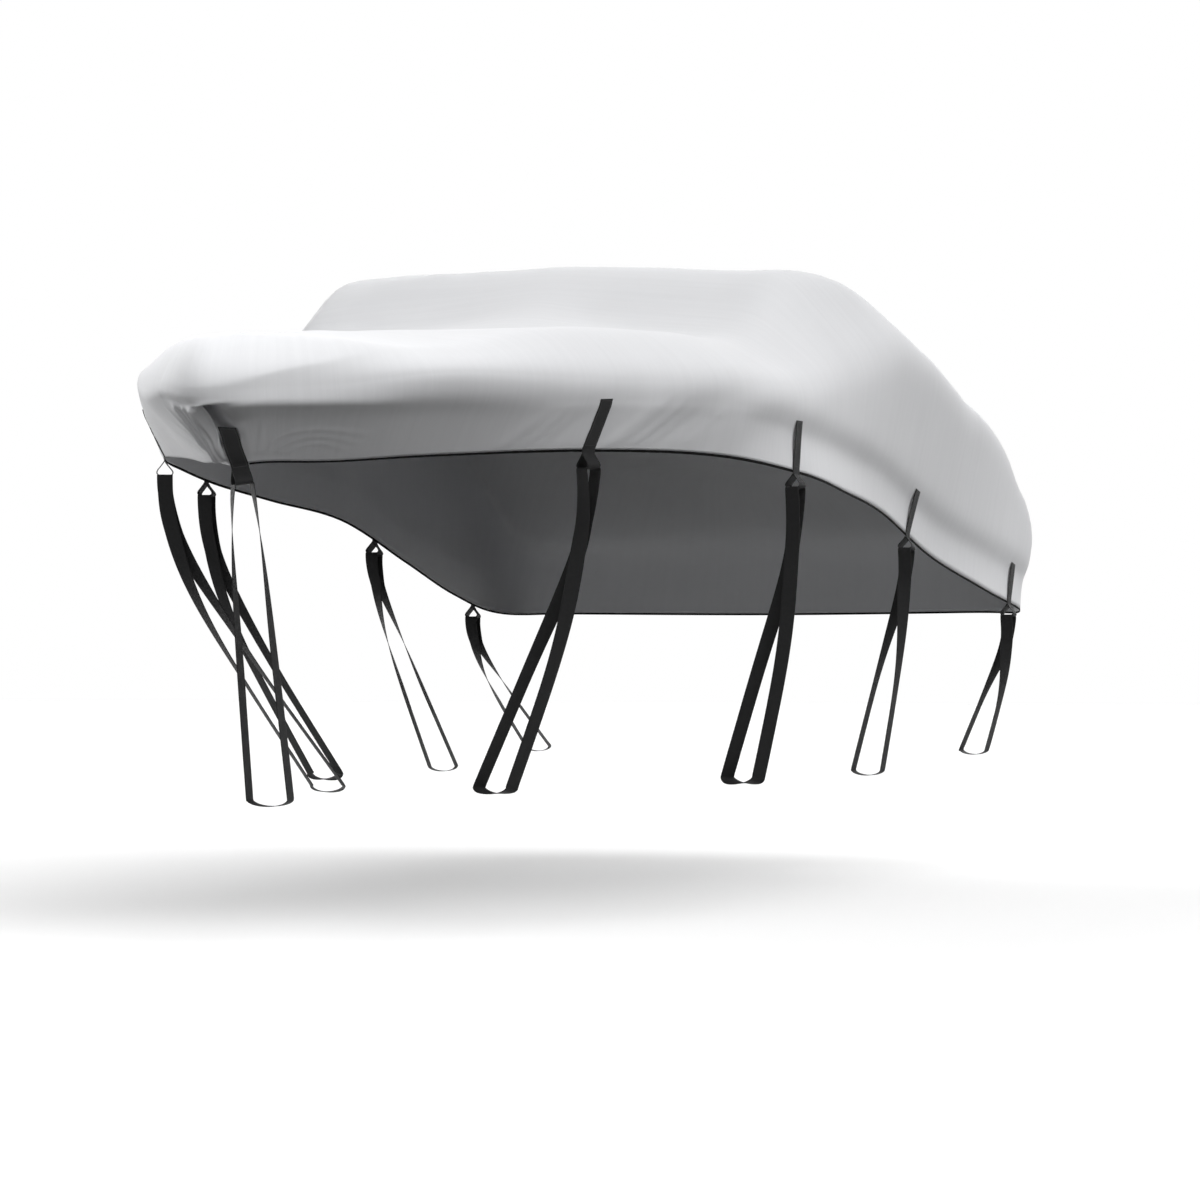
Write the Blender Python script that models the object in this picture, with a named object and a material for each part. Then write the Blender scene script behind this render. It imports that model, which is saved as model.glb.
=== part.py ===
"""Fitted storage cover for a runabout of about 5.5 m, shaped as it sits stretched over the boat.

The cloth is one sheet: a rounded foredeck, a raised hump where it passes over the windscreen, and a
slope down to the stern. Nine webbing tabs are sewn on above the hem, each ending in a triangular loop,
and a closed tie-down strap hangs from each loop to where a trailer's frame would run through it.

Frame: +X to the bow, +Y to port, +Z up, metres. The origin is under the top of the hump.
"""

import math

import bmesh
import bpy
import numpy as np
from mathutils import Vector

# Driving dimensions, in metres.
CLOTH = 0.003  # wall of the cloth
SHOULDER_ROUND = 0.17  # how far the shoulder and the top edge are rounded, along the cloth
TOP_ROUND = 0.13
PLAIN_RIBS = 42  # steps along one side, bow to stern
LOWER_STEPS, UPPER_STEPS = 11, 11  # steps up the cloth, below and above the middle of the rib

HEM_GAP = 0.0004
HEM_DEPTH = 0.009  # black edging below the cloth

WEBBING = 0.0025  # thickness of all webbing
TAB_WIDTH = 0.055
TAB_LENGTH = 0.172
TAB_GAP = 0.0006  # between the tab and the cloth under it
LOOP_TOP, LOOP_BOTTOM = 0.015, 0.062  # below the hem
LOOP_BASE = 0.078  # along the outward direction

STRAP_WIDTH = 0.050
STRAP_GAP = 0.0005  # between the strap and the loop that carries it
NECK_AT = 0.24  # how far down the two legs come closest, as a part of their length
SAG = 0.022  # depth of the strap's round lower end
LEG_STEPS, END_STEPS = 18, 8

# Where the frame's origin lies, from the hem at the bow and from the ground.
ORIGIN_AFT, ORIGIN_UP = 3.08, 2.3302

# The cover's lines, in ribs from the middle of the bow to the middle of the stern. Each rib rises from
# the hem over the shoulder and the top edge to the ridge. Its places are aft of the bow, out from the
# centre and above the ground.
COLUMNS = ("hem_aft", "hem_out", "hem_up", "shoulder_aft", "shoulder_out", "shoulder_up",
           "top_aft", "top_out", "top_up", "ridge_aft", "ridge_up")
RIBS = (
    (-0.05, 0.000, 1.455, -0.32, 0.000, 1.665, -0.230, 0.000, 1.835, 0.19, 1.870),
    (0.03, 0.085, 1.470, -0.20, 0.165, 1.670, -0.115, 0.135, 1.840, 0.36, 1.880),
    (0.24, 0.215, 1.480, 0.03, 0.355, 1.695, 0.090, 0.290, 1.830, 0.58, 1.910),
    (0.56, 0.415, 1.510, 0.42, 0.575, 1.765, 0.490, 0.460, 1.830, 0.90, 1.935),
    (1.06, 0.730, 1.545, 1.03, 0.840, 1.770, 1.070, 0.680, 1.940, 1.35, 1.965),
    (1.64, 0.985, 1.555, 1.62, 1.070, 1.805, 1.660, 0.845, 1.970, 1.84, 1.960),
    (2.27, 1.120, 1.520, 2.32, 1.130, 1.830, 2.400, 0.855, 2.010, 2.47, 2.110),
    (2.83, 1.125, 1.475, 2.97, 1.145, 1.930, 2.860, 0.875, 2.275, 2.97, 2.330),
    (3.45, 1.100, 1.420, 3.58, 1.190, 2.035, 3.280, 0.995, 2.265, 3.60, 2.265),
    (4.14, 1.110, 1.275, 4.32, 1.210, 1.900, 3.940, 0.925, 2.120, 4.24, 2.175),
    (4.84, 1.165, 1.155, 5.08, 1.200, 1.735, 4.600, 0.930, 1.935, 4.76, 1.940),
    (5.42, 1.165, 1.080, 5.63, 1.170, 1.415, 4.990, 0.825, 1.750, 5.07, 1.780),
    (5.64, 0.890, 1.080, 5.78, 0.865, 1.380, 5.235, 0.550, 1.695, 5.21, 1.725),
    (5.70, 0.000, 1.075, 5.78, 0.000, 1.400, 5.395, 0.000, 1.660, 5.32, 1.685),
)
ACROSS = tuple(name.endswith("_out") for name in COLUMNS)
CREASED = tuple(name.startswith(("hem", "shoulder")) for name in COLUMNS)

# The tie-downs, bow first: the rib that the tab is centred on, and where the strap's lower end hangs.
# Hang is how far it drops straight down before it slants in. Neck and foot_half are half the distance
# between its two legs where they come closest and at the foot. Turn is the direction, from +X towards
# +Y, in which the forward leg ends beside the backward one, and skew how far its webbing stays twisted.
TIE_COLUMNS = ("name", "rib", "hang", "foot_aft", "foot_out", "foot_up",
               "neck", "foot_half", "turn", "skew")
TIES = (
    ("bow", 0.27, 0.05, 0.25, 0.00, 0.450, 0.037, 0.068, -90, 0),
    ("port_1", 4.035, 0.24, 1.42, 0.30, 0.455, 0.011, 0.058, 90, -37),
    ("port_2", 5.905, 0.26, 2.59, 0.80, 0.460, 0.011, 0.058, 90, -55),
    ("port_3", 8.51, 0.13, 4.00, 0.88, 0.450, 0.011, 0.058, 90, -6),
    ("port_4", 10.455, 0.13, 5.38, 0.97, 0.500, 0.011, 0.055, 90, -6),
)

# The broad folds of the cloth: rib and height on the rib (0 hem, 1 ridge) at both ends, half width, rise.
# The two sides differ, as cloth does. The first two rows are the long edge along the bow's shoulder. The
# three before the last two are the long trough just above the side's hem, and the last two make the
# hump's top uneven.
FOLDS = (
    ("both", 0.70, 0.33, 3.3, 0.30, 0.060, 0.012),
    ("both", 0.70, 0.44, 3.0, 0.42, 0.055, -0.006),
    ("port", 3.75, 0.05, 4.6, 0.40, 0.075, -0.009),
    ("port", 4.35, 0.04, 5.5, 0.36, 0.080, -0.010),
    ("port", 5.0, 0.08, 6.1, 0.45, 0.080, 0.007),
    ("port", 6.3, 0.05, 6.9, 0.50, 0.090, -0.010),
    ("port", 7.3, 0.08, 7.7, 0.62, 0.085, 0.008),
    ("port", 8.2, 0.05, 8.3, 0.55, 0.090, -0.010),
    ("port", 9.4, 0.08, 9.1, 0.55, 0.090, -0.009),
    ("starboard", 4.1, 0.05, 4.9, 0.40, 0.080, -0.010),
    ("starboard", 5.6, 0.05, 6.3, 0.42, 0.085, -0.009),
    ("starboard", 7.0, 0.06, 7.4, 0.55, 0.090, 0.008),
    ("starboard", 8.0, 0.05, 8.4, 0.58, 0.090, -0.011),
    ("starboard", 9.7, 0.06, 9.3, 0.50, 0.085, -0.008),
    ("both", 10.2, 0.10, 10.6, 0.60, 0.080, -0.009),
    ("both", 5.7, 0.62, 6.3, 0.97, 0.120, -0.012),
    ("both", 5.3, 0.110, 7.4, 0.112, 0.085, -0.018),
    ("both", 7.0, 0.112, 9.2, 0.118, 0.085, -0.019),
    ("both", 8.8, 0.118, 11.2, 0.130, 0.085, -0.014),
    ("port", 6.6, 0.70, 7.6, 0.70, 0.200, -0.009),
    ("starboard", 6.6, 0.72, 7.6, 0.72, 0.220, 0.010),
)

COLOURS = {  # base colour, roughness
    "cloth": ((0.62, 0.625, 0.635), 0.85),
    "webbing": ((0.022, 0.022, 0.024), 0.75),
    "edging": ((0.015, 0.015, 0.016), 0.70),
}


def line_at(rib):
    """The row of COLUMNS at a rib number that may lie between two ribs, on a smooth curve through them."""
    rows = np.array(RIBS)
    mirror = np.where(ACROSS, -1.0, 1.0)
    # The stem is a crease up to the shoulder, and round above it.
    before = np.where(CREASED, 2 * rows[0] - rows[1], rows[1] * mirror)
    rows = np.vstack([before, rows, rows[-2] * mirror])
    i = min(int(rib), len(RIBS) - 2)
    s = rib - i
    a, b, c, d = rows[i : i + 4]
    return 0.5 * (2 * b + (c - a) * s + (2 * a - 5 * b + 4 * c - d) * s**2 + (3 * b - a - 3 * c + d) * s**3)


def rib_points(rib, heights):
    """Points of the smooth cloth to port, at these heights (0 hem, 1 ridge) of a rib."""
    row = dict(zip(COLUMNS, line_at(rib)))
    hem, shoulder, top = (
        np.array([row[part + "_aft"], row[part + "_out"], row[part + "_up"]])
        for part in ("hem", "shoulder", "top")
    )
    ridge = np.array([row["ridge_aft"], 0.0, row["ridge_up"]])
    across = np.array([1, -1, 1])
    corners = np.array([2 * hem - shoulder, hem, shoulder, top, ridge, top * across, shoulder * across])
    run = np.concatenate([[0], np.cumsum(np.linalg.norm(np.diff(corners, axis=0), axis=1))])
    middle = (run[2] + run[3]) / 2
    heights = np.asarray(heights, float)
    lower = run[1] + 2 * heights * (middle - run[1])
    upper = middle + (2 * heights - 1) * (run[4] - middle)
    along = np.where(heights < 0.5, lower, upper)
    reach = np.interp(along, run[2:4], [SHOULDER_ROUND, TOP_ROUND])
    reach = np.minimum(reach, along - run[1])
    offsets = np.linspace(-1, 1, 9)
    weights = (1 - offsets**2) ** 1.5
    points = np.zeros((len(heights), 3))
    for offset, weight in zip(offsets, weights / weights.sum()):
        for axis in range(3):
            points[:, axis] += weight * np.interp(along + offset * reach, run, corners[:, axis])
    return np.stack([ORIGIN_AFT - points[:, 0], points[:, 1], points[:, 2] - ORIGIN_UP], axis=1)


def tab_ribs(rib):
    """The two ribs that run along the edges of a tab centred on this one."""
    here, there = rib_points(rib - 0.02, [0])[0], rib_points(rib + 0.02, [0])[0]
    half = 0.5 * (TAB_WIDTH + 0.002) * 0.04 / np.linalg.norm(there - here)
    return max(rib - half, 0.0), rib + half


def rib_list():
    """All rib numbers of one side: even steps, with the ones that fall beside a tab's edges left out."""
    tabs = [tab_ribs(tie[1]) for tie in TIES]
    even = [float(rib) for rib in np.linspace(0, len(RIBS) - 1, PLAIN_RIBS + 1)]
    kept = [rib for rib in even if not any(low - 0.11 < rib < high + 0.11 for low, high in tabs)]
    return sorted({0.0, *kept, *(edge for tab in tabs for edge in tab)})


def cloth_grid(side):
    """The ribs' numbers and the grid of points, ribs by heights, of one side with its folds."""
    heights = np.concatenate(
        [np.linspace(0, 0.5, LOWER_STEPS, endpoint=False), np.linspace(0.5, 1, UPPER_STEPS + 1)]
    )
    ribs = rib_list()
    grid = np.array([rib_points(rib, heights) for rib in ribs])
    along = np.gradient(grid, axis=0)
    up = np.gradient(grid, axis=1)
    out = np.cross(along, up)
    out[:, :, 1] = np.where(grid[:, :, 1] < 1e-6, 0, out[:, :, 1])
    out /= np.linalg.norm(out, axis=2, keepdims=True)
    shift = np.zeros(grid.shape[:2])
    for which, rib_a, height_a, rib_b, height_b, half_width, rise in FOLDS:
        if which not in ("both", side):
            continue
        a, b = rib_points(rib_a, [height_a])[0], rib_points(rib_b, [height_b])[0]
        span = b - a
        at = ((grid - a) @ span) / (span @ span)
        away = np.linalg.norm(grid - a - at[..., None] * span, axis=2)
        ends = np.clip(np.minimum(at, 1 - at) / 0.3 + 0.35, 0, 1)
        shift += rise * ends**2 * (3 - 2 * ends) * np.exp(-((away / half_width) ** 2))
    shift[0, :] *= 0.0
    shift[-1, :] *= 0.0
    shift[:, -1] *= 0.0
    grid = grid + out * shift[..., None]
    if side == "starboard":
        grid = grid * (1, -1, 1)
    return ribs, grid


def link(name, mesh, look, parent):
    mesh.materials.append(look)
    obj = bpy.data.objects.new(name, mesh)
    bpy.context.scene.collection.objects.link(obj)
    obj.parent = parent
    mesh.shade_smooth()
    mesh.set_sharp_from_angle(angle=math.radians(40))
    return obj


def make_cloth(grids, look, parent):
    """The sheet's outer face from both sides' grids, which share the stem, the ridge and the stern line."""
    port, starboard = grids
    ribs, steps = port.shape[:2]
    bm = bmesh.new()
    left = [[bm.verts.new(point) for point in rib] for rib in port]
    right = [
        [
            left[i][j] if i in (0, ribs - 1) or j == steps - 1 else bm.verts.new(starboard[i][j])
            for j in range(steps)
        ]
        for i in range(ribs)
    ]
    for i in range(ribs - 1):
        for j in range(steps - 1):
            bm.faces.new((left[i][j], left[i + 1][j], left[i + 1][j + 1], left[i][j + 1]))
            bm.faces.new((right[i][j], right[i][j + 1], right[i + 1][j + 1], right[i + 1][j]))
    mesh = bpy.data.meshes.new("cover")
    bm.to_mesh(mesh)
    bm.free()
    obj = link("cover", mesh, look, parent)
    wall = obj.modifiers.new("wall", "SOLIDIFY")
    wall.thickness = CLOTH
    wall.offset = -1
    return obj


def band(name, sections, closed, look, parent):
    """A solid strip through sections of four corners each. A closed one joins its last to its first."""
    bm = bmesh.new()
    rings = [[bm.verts.new(corner) for corner in section] for section in sections]
    pairs = list(zip(rings, rings[1:] + rings[:1])) if closed else list(zip(rings, rings[1:]))
    for here, there in pairs:
        for k in (0, 2) if closed else range(4):
            bm.faces.new((here[k], here[(k + 1) % 4], there[(k + 1) % 4], there[k]))
        for a, b in ((1, 2), (0, 3)) if closed else ():
            # A strap twists, so both wide faces are split along the same diagonal, which keeps
            # its thickness.
            bm.faces.new((here[a], here[b], there[b]))
            bm.faces.new((here[a], there[b], there[a]))
    if not closed:
        bm.faces.new(rings[0][::-1])
        bm.faces.new(rings[-1])
    bmesh.ops.recalc_face_normals(bm, faces=bm.faces)
    mesh = bpy.data.meshes.new(name)
    bm.to_mesh(mesh)
    bm.free()
    return link(name, mesh, look, parent)


def unit(vector):
    return vector / np.linalg.norm(vector)


def hem_frame(grid, i):
    """At rib i of a grid: the hem point, the way down the cloth past it, and the way out of it.

    The way down never leans outwards, so that what hangs at the hem stays clear of the tabs.
    """
    here = grid[i][0]
    down = unit(grid[i][0] - grid[i][1])
    before, after = grid[max(i - 1, 0)][0], grid[min(i + 1, len(grid) - 1)][0]
    out = unit(np.cross(after - before, down))
    if out[:2] @ (here[:2] - grid[i][-1][:2] * (1, 0)) < 0:
        out = -out
    level = unit(out * (1, 1, 0))
    down = unit(down - max(down @ level, 0) * level)
    return here, down, unit(out - (out @ down) * down)


def edging_sections(ribs, port, starboard):
    """Sections of the edging, from the bow tab to port, round the stern and up the starboard side."""
    start_port = ribs.index(tab_ribs(TIES[0][1])[1])
    start_starboard = min(i for i, rib in enumerate(ribs) if rib > 4.3)
    route = [(port, i) for i in range(start_port, len(ribs) - 1)]
    route += [(starboard, i) for i in range(len(ribs) - 1, start_starboard - 1, -1)]
    sections = []
    for grid, i in route:
        here, down, out = hem_frame(grid, i)
        if i == len(ribs) - 1:
            down, out = unit(down * (1, 0, 1)), np.array([-1.0, 0, 0])
            out = unit(out - (out @ down) * down)
        top, bottom = here + HEM_GAP * down, here + (HEM_GAP + HEM_DEPTH) * down
        sections.append((top, top - CLOTH * out, bottom - CLOTH * out, bottom))
    return sections


def mitred(path, half):
    """Both offsets, at this half thickness, of an open path in a plane."""
    path = np.array(path, float)
    steps = [unit(step) for step in np.diff(path, axis=0)]
    sides = []
    for i, point in enumerate(path):
        before, after = steps[max(i - 1, 0)], steps[min(i, len(steps) - 1)]
        normals = [np.array([-step[1], step[0]]) for step in (before, after)]
        middle = unit(normals[0] + normals[1])
        reach = middle * half / (middle @ normals[0])
        sides.append((point + reach, point - reach))
    return sides


def tab_frame(grid, ribs, rib):
    """A tab's two edge ribs, the middle of its hem, and its frame there: along the hem, out and down."""
    first, second = (ribs.index(edge) for edge in tab_ribs(rib))
    a, b = grid[first], grid[second]
    along = unit(b[0] - a[0])
    down = unit(np.array([0, 0, -1.0]) + along[2] * along)
    out = unit(np.cross(along, down))
    if out[1] * np.sign(b[0][1]) < 0:
        out = -out
    return a, b, (a[0] + b[0]) / 2, along, out, down


def tab_sections(grid, ribs, rib):
    """Sections of a tab: from its sewn top down the cloth, past the hem and round its triangular loop."""
    a, b, middle, along, out, down = tab_frame(grid, ribs, rib)
    spare = 0.5 - 0.5 * TAB_WIDTH / np.linalg.norm(b[0] - a[0])
    left, right = a + (b - a) * spare, b + (a - b) * spare
    centre = (left + right) / 2
    run = np.concatenate([[0], np.cumsum(np.linalg.norm(np.diff(centre[:8], axis=0), axis=1))])
    last = int(np.searchsorted(run, TAB_LENGTH))
    part = (TAB_LENGTH - run[last - 1]) / (run[last] - run[last - 1])
    sections = []
    for i in [*range(1, last), last]:
        ends = (left[i], right[i])
        if i == last:
            ends = tuple(line[i - 1] + part * (line[i] - line[i - 1]) for line in (left, right))
        off = np.zeros(3)
        for lower, upper in ((i - 1, i), (i, i + 1)):
            if upper > last:
                continue
            off = off + unit(np.cross(along, centre[lower] - centre[upper]))
        off = unit(off)
        off = off if off @ out > 0 else -off
        inner, outer = off * TAB_GAP, off * (TAB_GAP + WEBBING)
        sections.append((ends[0] + inner, ends[0] + outer, ends[1] + outer, ends[1] + inner))
    sections.reverse()
    slope = (centre[0] - centre[1]) @ out / ((centre[0] - centre[1]) @ down)
    lift = TAB_GAP + WEBBING / 2
    loop = mitred(
        [
            (lift - slope * 0.004, -0.004),
            (lift + 0.0004, LOOP_TOP),
            (LOOP_BASE / 2 + 0.001, LOOP_BOTTOM),
            (0.001 - LOOP_BASE / 2, LOOP_BOTTOM),
            (-0.0052, LOOP_TOP + 0.007),
        ],
        WEBBING / 2,
    )
    half = TAB_WIDTH / 2 * along
    for sides in loop:
        if sides is loop[0] or sides is loop[1]:
            sides = sorted(sides, key=lambda place: place[0])
        corners = [middle + out * place[0] + down * place[1] for place in sides]
        sections.append((corners[0] - half, corners[1] - half, corners[1] + half, corners[0] + half))
    return sections


def strap_sections(grid, ribs, tie, side):
    """Sections of a tie-down: over the loop's base, down the forward leg, round the foot and back up."""
    _, _, middle, along, out, down = tab_frame(grid, ribs, tie["rib"])
    hand = -1 if side == "starboard" else 1
    forward = -along if along[0] < 0 else along
    forward = forward if tie["name"] != "bow" else -along
    base = middle + down * (LOOP_BOTTOM - WEBBING - STRAP_GAP) + out * 0.001
    foot = np.array([ORIGIN_AFT - tie["foot_aft"], hand * tie["foot_out"], tie["foot_up"] - ORIGIN_UP])
    leg = TAB_WIDTH / 2 + STRAP_GAP + WEBBING / 2
    start = math.atan2(forward[1], forward[0])
    turn = math.radians(tie["turn"]) * hand - start
    width_start = math.atan2(out[1], out[0])
    skew = math.radians(tie["skew"]) * hand
    quarter = math.pi / 2 if math.sin(width_start - start) > 0 else -math.pi / 2
    top = base + down * 0.01
    knee = top - np.array([0, 0, tie["hang"]])
    after = knee + 0.3 * (foot - knee)
    ring = []  # middle of the two legs, way from it to the forward one, width direction of the webbing
    for step in range(1, LEG_STEPS + 1):
        s = step / LEG_STEPS
        ease = min(s / 0.80, 1.0)
        ease = ease * ease * (3 - 2 * ease)
        angle = start + turn * ease
        half = np.interp(s, [0, NECK_AT, 1], [leg, tie["neck"], tie["foot_half"]])
        centre = (1 - s) ** 3 * top + 3 * s * (1 - s) ** 2 * knee + 3 * s**2 * (1 - s) * after + s**3 * foot
        lean = angle + quarter + skew * ease
        width = np.array([math.cos(lean), math.sin(lean), 0])
        ring.append((centre, np.array([math.cos(angle), math.sin(angle), 0]) * half, width))
    sections = []

    def add(point, travel, width):
        across = unit(width - (width @ unit(travel)) * unit(travel))
        thick = np.cross(unit(travel), across)
        w, h = across * STRAP_WIDTH / 2, thick * WEBBING / 2
        sections.append((point - w - h, point - w + h, point + w + h, point + w - h))

    flat = unit(out)
    lead = forward * leg
    for amount, drop in ((-0.86, 0.0), (0.0, 0.0), (0.86, 0.0)):
        add(base + lead * amount, forward, flat)
    add(base + lead * 0.99 + down * 0.0008, forward + down, flat)
    add(base + lead * 1.01 + down * 0.010, down, flat)
    for k, (centre, offset, width) in enumerate(ring):
        before = ring[k - 1][0] + ring[k - 1][1] if k else base + lead + down * 0.01
        add(centre + offset, centre + offset - before, width)
    centre, offset, width = ring[-1]
    for k in range(1, END_STEPS):
        angle = math.pi * k / END_STEPS
        travel = -offset * math.sin(angle) + np.array([0, 0, -1.0]) * SAG * math.cos(angle)
        add(centre + offset * math.cos(angle) - np.array([0, 0, SAG]) * math.sin(angle), travel, width)
    for k in range(len(ring) - 1, -1, -1):
        centre, offset, width = ring[k]
        before = ring[k - 1][0] - ring[k - 1][1] if k else base - lead + down * 0.01
        add(centre - offset, before - centre + offset, width)
    add(base - lead * 1.01 + down * 0.010, -down, flat)
    add(base - lead * 0.99 + down * 0.0008, forward - down, flat)
    return sections


def principled(name):
    colour, roughness = COLOURS[name]
    look = bpy.data.materials.new(name)
    look.use_nodes = True
    shader = look.node_tree.nodes["Principled BSDF"]
    shader.inputs["Base Color"].default_value = (*colour, 1)
    shader.inputs["Roughness"].default_value = roughness
    shader.inputs["Metallic"].default_value = 0.0
    look.diffuse_color = (*colour, 1)
    return look


def main():
    for obj in list(bpy.data.objects):
        bpy.data.objects.remove(obj, do_unlink=True)
    whole = bpy.data.objects.new("boat_cover", None)
    bpy.context.scene.collection.objects.link(whole)
    looks = {name: principled(name) for name in COLOURS}
    ribs, port = cloth_grid("port")
    _, starboard = cloth_grid("starboard")
    make_cloth((port, starboard), looks["cloth"], whole)
    band("hem_edging", edging_sections(ribs, port, starboard), False, looks["edging"], whole)
    for row in TIES:
        tie = dict(zip(TIE_COLUMNS, row))
        sides = [("port", port)] if tie["name"] == "bow" else [("port", port), ("starboard", starboard)]
        for side, grid in sides:
            name = tie["name"].replace("port", side)
            band("tab_" + name, tab_sections(grid, ribs, tie["rib"]), False, looks["webbing"], whole)
            band("strap_" + name, strap_sections(grid, ribs, tie, side), True, looks["webbing"], whole)


main()
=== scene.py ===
"""Looks of the boat cover: cloth, a black strip of painted shadow along the hem, webbing tabs and
tie-downs, floor, light and camera.

Laid out as an add-on and run as a script. Metres, +X to the bow, +Y to port, +Z up.
"""

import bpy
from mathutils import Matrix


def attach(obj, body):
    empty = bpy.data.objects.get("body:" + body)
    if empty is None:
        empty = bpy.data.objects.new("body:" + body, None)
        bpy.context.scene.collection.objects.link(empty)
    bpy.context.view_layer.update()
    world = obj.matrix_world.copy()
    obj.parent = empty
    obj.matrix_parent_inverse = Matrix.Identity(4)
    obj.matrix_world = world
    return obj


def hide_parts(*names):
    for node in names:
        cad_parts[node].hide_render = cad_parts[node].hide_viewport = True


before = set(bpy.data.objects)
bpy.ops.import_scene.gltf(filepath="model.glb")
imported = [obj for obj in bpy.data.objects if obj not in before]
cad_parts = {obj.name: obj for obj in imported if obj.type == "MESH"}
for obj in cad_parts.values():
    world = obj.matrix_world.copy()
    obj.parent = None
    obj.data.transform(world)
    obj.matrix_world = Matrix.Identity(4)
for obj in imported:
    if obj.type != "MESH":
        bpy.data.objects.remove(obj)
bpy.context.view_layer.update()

import functools
import math

import bmesh
import bpy
import numpy as np
from bpy.props import FloatProperty, FloatVectorProperty, PointerProperty
from mathutils import Vector

bl_info = {
    "name": "Boat cover",
    "version": (1, 0, 0),
    "blender": (4, 5, 0),
    "location": "3D View > Sidebar > Boat cover",
    "description": "Builds a fitted boat cover with its webbing tabs and tie-downs",
    "category": "Add Mesh",
}

# The cover's lines, from the middle of the bow to the middle of the stern. Each rib rises from the hem
# over the shoulder and the top edge to the ridge: aft of the bow, out from the centre, above the ground.
COLUMNS = (
    "hem_aft hem_out hem_up shoulder_aft shoulder_out shoulder_up "
    "top_aft top_out top_up ridge_aft ridge_up").split()
RIBS = (
    (-0.05, 0.000, 1.455, -0.32, 0.000, 1.665, -0.230, 0.000, 1.835, 0.19, 1.870),
    (0.03, 0.085, 1.470, -0.20, 0.165, 1.670, -0.115, 0.135, 1.840, 0.36, 1.880),
    (0.24, 0.215, 1.480, 0.03, 0.355, 1.695, 0.090, 0.290, 1.830, 0.58, 1.910),
    (0.56, 0.415, 1.510, 0.42, 0.575, 1.765, 0.490, 0.460, 1.830, 0.90, 1.935),
    (1.06, 0.730, 1.545, 1.03, 0.840, 1.770, 1.070, 0.680, 1.940, 1.35, 1.965),
    (1.64, 0.985, 1.555, 1.62, 1.070, 1.805, 1.660, 0.845, 1.970, 1.84, 1.960),
    (2.27, 1.120, 1.520, 2.32, 1.130, 1.830, 2.400, 0.855, 2.010, 2.47, 2.110),
    (2.83, 1.125, 1.475, 2.97, 1.145, 1.930, 2.860, 0.875, 2.275, 2.97, 2.330),
    (3.45, 1.100, 1.420, 3.58, 1.190, 2.035, 3.280, 0.995, 2.265, 3.60, 2.265),
    (4.14, 1.110, 1.275, 4.32, 1.210, 1.900, 3.940, 0.925, 2.120, 4.24, 2.175),
    (4.84, 1.165, 1.155, 5.08, 1.200, 1.735, 4.600, 0.930, 1.935, 4.76, 1.940),
    (5.42, 1.165, 1.080, 5.63, 1.170, 1.415, 4.990, 0.825, 1.750, 5.07, 1.780),
    (5.64, 0.890, 1.080, 5.78, 0.865, 1.380, 5.235, 0.550, 1.695, 5.21, 1.725),
    (5.70, 0.000, 1.075, 5.78, 0.000, 1.400, 5.395, 0.000, 1.660, 5.32, 1.685),
)
ACROSS = tuple(name.endswith("_out") for name in COLUMNS)
CREASED = tuple(name.startswith(("hem", "shoulder")) for name in COLUMNS)
ORIGIN_AFT, ORIGIN_UP = 3.08, 2.3302
SHOULDER_ROUND, TOP_ROUND = 0.17, 0.13

# The tie-downs, bow first: the tab's rib, how far the strap hangs straight, its foot's place, half the
# room between its legs at the neck and at the foot, and how far they turn and skew, in degrees.
TIE_COLUMNS = "name rib hang foot_aft foot_out foot_up neck foot_half turn skew".split()
TIES = (
    ("bow", 0.27, 0.05, 0.25, 0.00, 0.450, 0.037, 0.068, -90, 0),
    ("port_1", 4.035, 0.24, 1.42, 0.30, 0.455, 0.011, 0.058, 90, -37),
    ("port_2", 5.905, 0.26, 2.59, 0.80, 0.460, 0.011, 0.058, 90, -55),
    ("port_3", 8.51, 0.13, 4.00, 0.88, 0.450, 0.011, 0.058, 90, -6),
    ("port_4", 10.455, 0.13, 5.38, 0.97, 0.500, 0.011, 0.055, 90, -6),
)
# A tab's width, side margin, length and gap to the cloth, and the thickness of webbing in the solids.
TAB_WIDTH, TAB_MARGIN, TAB_LENGTH, TAB_GAP, WEBBING = 0.055, 0.002, 0.172, 0.0006, 0.0025
# Its loop: where it starts and ends below the hem, and how wide its base is.
LOOP_TOP, LOOP_BOTTOM, LOOP_BASE = 0.015, 0.062, 0.078
# A strap's width and gap in the loop, the shares of its way where the neck is and where it has turned,
# how far its foot sags and the steps of a leg.
STRAP_WIDTH, STRAP_GAP, NECK_AT, TURNED_AT, SAG, STRAP_STEPS = 0.05, 0.0005, 0.24, 0.8, 0.022, 36
# The strap's line over the base of the tab's loop: shares of the way out to a leg, and drops below it.
STRAP_TOP = ((-0.86, 0.0), (0.0, 0.0), (0.86, 0.0), (0.99, 0.0008), (1.01, 0.010))
HEM_GAP, HEM_DEPTH, SHADOW_STRIP_THICKNESS = 0.0004, 0.009, 0.003  # the gap of the painted shadow strip to the hem, its depth and thickness
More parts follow.
